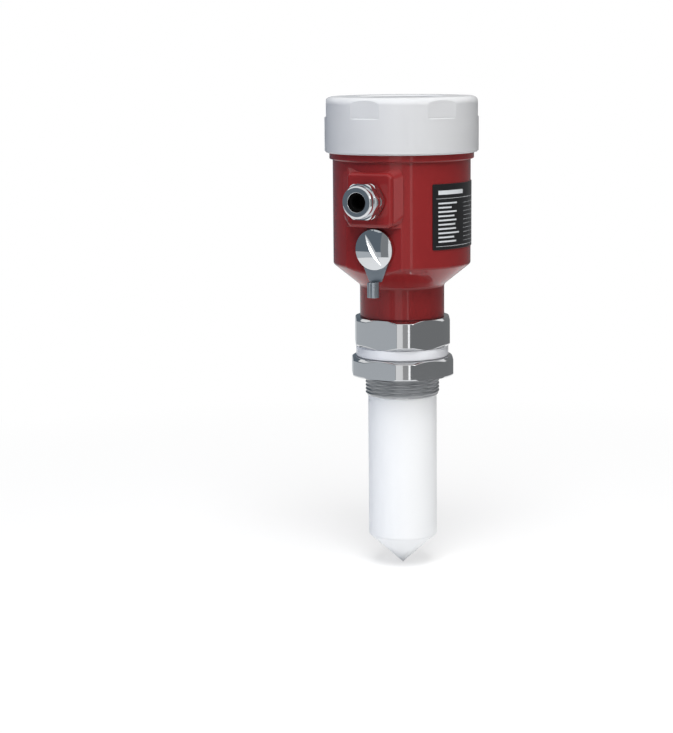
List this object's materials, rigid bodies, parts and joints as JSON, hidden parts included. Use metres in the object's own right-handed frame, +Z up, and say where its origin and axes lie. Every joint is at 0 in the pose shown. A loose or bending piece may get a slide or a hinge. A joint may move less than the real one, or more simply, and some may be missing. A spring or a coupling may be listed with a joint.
{
  "type": "radar level sensor",
  "caption": "Upright radar level transmitter: red cast housing with white screwed lid, window, cable gland and earth terminal over a hexagon fitting and plastic antenna tube.",
  "frame": {"origin": "on the sensor's axis at the lower face of the lock nut, where the exposed process thread starts", "axes": "+Z up along the sensor's axis towards the lid, -Y along the cable gland, +X through the nameplate"},
  "size_m": [0.098, 0.1151, 0.3042],
  "materials": {
    "stainless_steel": "polished turned stainless steel",
    "spring_steel": "dark oiled spring steel",
    "lug_steel": "tinned, slightly blue-grey",
    "nickel_plate": "bright nickel plate on brass",
    "machined_aluminium": "machined",
    "red_enamel": "deep red gloss enamel on cast aluminium",
    "white_enamel": "white gloss enamel on cast aluminium",
    "nameplate_black": "thin black anodised plate",
    "white_fluoroplastic": "matt white",
    "black_plastic": "matt black",
    "green_plastic": "matt green",
    "slate_plastic": "dark slate film over moulded plastic",
    "circuit_board": "green solder mask",
    "screen_blue": "light blue screen",
    "key_blue": "blue key with a pale sign",
    "black_rubber": "matt",
    "window_glass": "clear, faintly blue at the edge"
  },
  "bodies": {
    "fitting": {"process_fitting": "stainless_steel", "spigot_o_rings": "black_rubber", "spigot_clip": "spring_steel", "antenna_tube": "white_fluoroplastic", "antenna_o_ring": "black_rubber", "horn_antenna": "machined_aluminium", "wave_guide": "machined_aluminium", "microwave_module": "machined_aluminium", "coax_cable": "black_plastic"},
    "seal_ring": {"seal_ring": "white_fluoroplastic"},
    "lock_nut": {"lock_nut": "stainless_steel"},
    "housing": {"housing": "red_enamel", "nameplate": "nameplate_black", "gland_gasket": "black_rubber", "gland_body": "nickel_plate", "plug_gasket": "black_rubber", "blanking_plug": "nickel_plate", "neck_set_screw": "spring_steel", "lid_o_ring": "black_rubber", "electronics_cup": "black_plastic", "main_board": "circuit_board", "board_pillars": "nickel_plate", "terminal_plate": "black_plastic", "terminal_block": "green_plastic", "terminal_screws": "nickel_plate", "carrier_foot": "black_plastic", "carrier_legs": "black_plastic", "display_carrier": "black_plastic", "carrier_screws": "spring_steel"},
    "gland_seal": {"gland_seal": "black_rubber"},
    "gland_nut": {"gland_nut": "nickel_plate"},
    "earth_lug": {"earth_lug": "lug_steel"},
    "earth_washer": {"earth_washer": "lug_steel"},
    "earth_screw": {"earth_screw": "nickel_plate"},
    "window": {"window_glass": "window_glass", "window_gasket": "black_rubber"},
    "lid": {"lid": "white_enamel", "window_retainer": "machined_aluminium"},
    "display": {"display_base": "black_plastic", "display_board": "circuit_board", "display_cover": "slate_plastic", "display_screen": "screen_blue"},
    "key_1": {"key_1": "key_blue"},
    "key_2": {"key_2": "key_blue"},
    "key_3": {"key_3": "key_blue"},
    "key_4": {"key_4": "key_blue"}
  },
  "joints": [
    {"name": "seal_ring_drop", "type": "slide", "parent": "fitting", "child": "seal_ring", "axis": [0, 0, -1], "range_m": [0, 0.009]},
    {"name": "lock_nut_turn", "type": "hinge", "parent": "seal_ring", "child": "lock_nut", "pos_m": [0, 0, 0], "axis": [0, 0, -1], "range_deg": [0, 1403.2]},
    {"name": "window_lift", "type": "slide", "parent": "housing", "child": "window", "axis": [0, 0, 1], "range_m": [0, 0.012]},
    {"name": "lid_turn", "type": "hinge", "parent": "window", "child": "lid", "pos_m": [0, 0, 0], "axis": [0, 0, 1], "range_deg": [0, 2160]},
    {"name": "gland_seal_move", "type": "slide", "parent": "housing", "child": "gland_seal", "axis": [0, -1, 0], "range_m": [0, 0.0045]},
    {"name": "gland_nut_turn", "type": "hinge", "parent": "gland_seal", "child": "gland_nut", "pos_m": [0, 0, 0.1151], "axis": [0, -1, 0], "range_deg": [0, 1080]},
    {"name": "earth_washer_move", "type": "slide", "parent": "housing", "child": "earth_washer", "axis": [0, -1, 0], "range_m": [0, 0.003]},
    {"name": "earth_screw_turn", "type": "hinge", "parent": "earth_washer", "child": "earth_screw", "pos_m": [0.0015, 0, 0.0843], "axis": [0, -1, 0], "range_deg": [0, 1080]},
    {"name": "housing_swivel", "type": "hinge", "parent": "fitting", "child": "housing", "pos_m": [0, 0, 0], "axis": [0, 0, 1], "range_deg": [-165, 165]},
    {"name": "earth_lug_swivel", "type": "hinge", "parent": "housing", "child": "earth_lug", "pos_m": [0.0015, 0, 0.0843], "axis": [0, -1, 0], "range_deg": [-90, 90]},
    {"name": "display_twist", "type": "hinge", "parent": "housing", "child": "display", "pos_m": [0, 0, 0], "axis": [0, 0, 1], "range_deg": [0, 20]},
    {"name": "key_1_press", "type": "slide", "parent": "display", "child": "key_1", "axis": [0, 0, -1], "range_m": [0, 0.0005], "stiffness_N_per_m": 1500, "springref_m": -0.001},
    {"name": "key_2_press", "type": "slide", "parent": "display", "child": "key_2", "axis": [0, 0, -1], "range_m": [0, 0.0005], "stiffness_N_per_m": 1500, "springref_m": -0.001},
    {"name": "key_3_press", "type": "slide", "parent": "display", "child": "key_3", "axis": [0, 0, -1], "range_m": [0, 0.0005], "stiffness_N_per_m": 1500, "springref_m": -0.001},
    {"name": "key_4_press", "type": "slide", "parent": "display", "child": "key_4", "axis": [0, 0, -1], "range_m": [0, 0.0005], "stiffness_N_per_m": 1500, "springref_m": -0.001}
  ],
  "couplings": [
    {"joint": "seal_ring_drop", "follows": "lock_nut_turn", "m_per_rad": 0.00036749},
    {"joint": "window_lift", "follows": "lid_turn", "m_per_rad": 0.00031831},
    {"joint": "gland_seal_move", "follows": "gland_nut_turn", "m_per_rad": 0.00023873},
    {"joint": "earth_washer_move", "follows": "earth_screw_turn", "m_per_rad": 0.00015915}
  ]
}
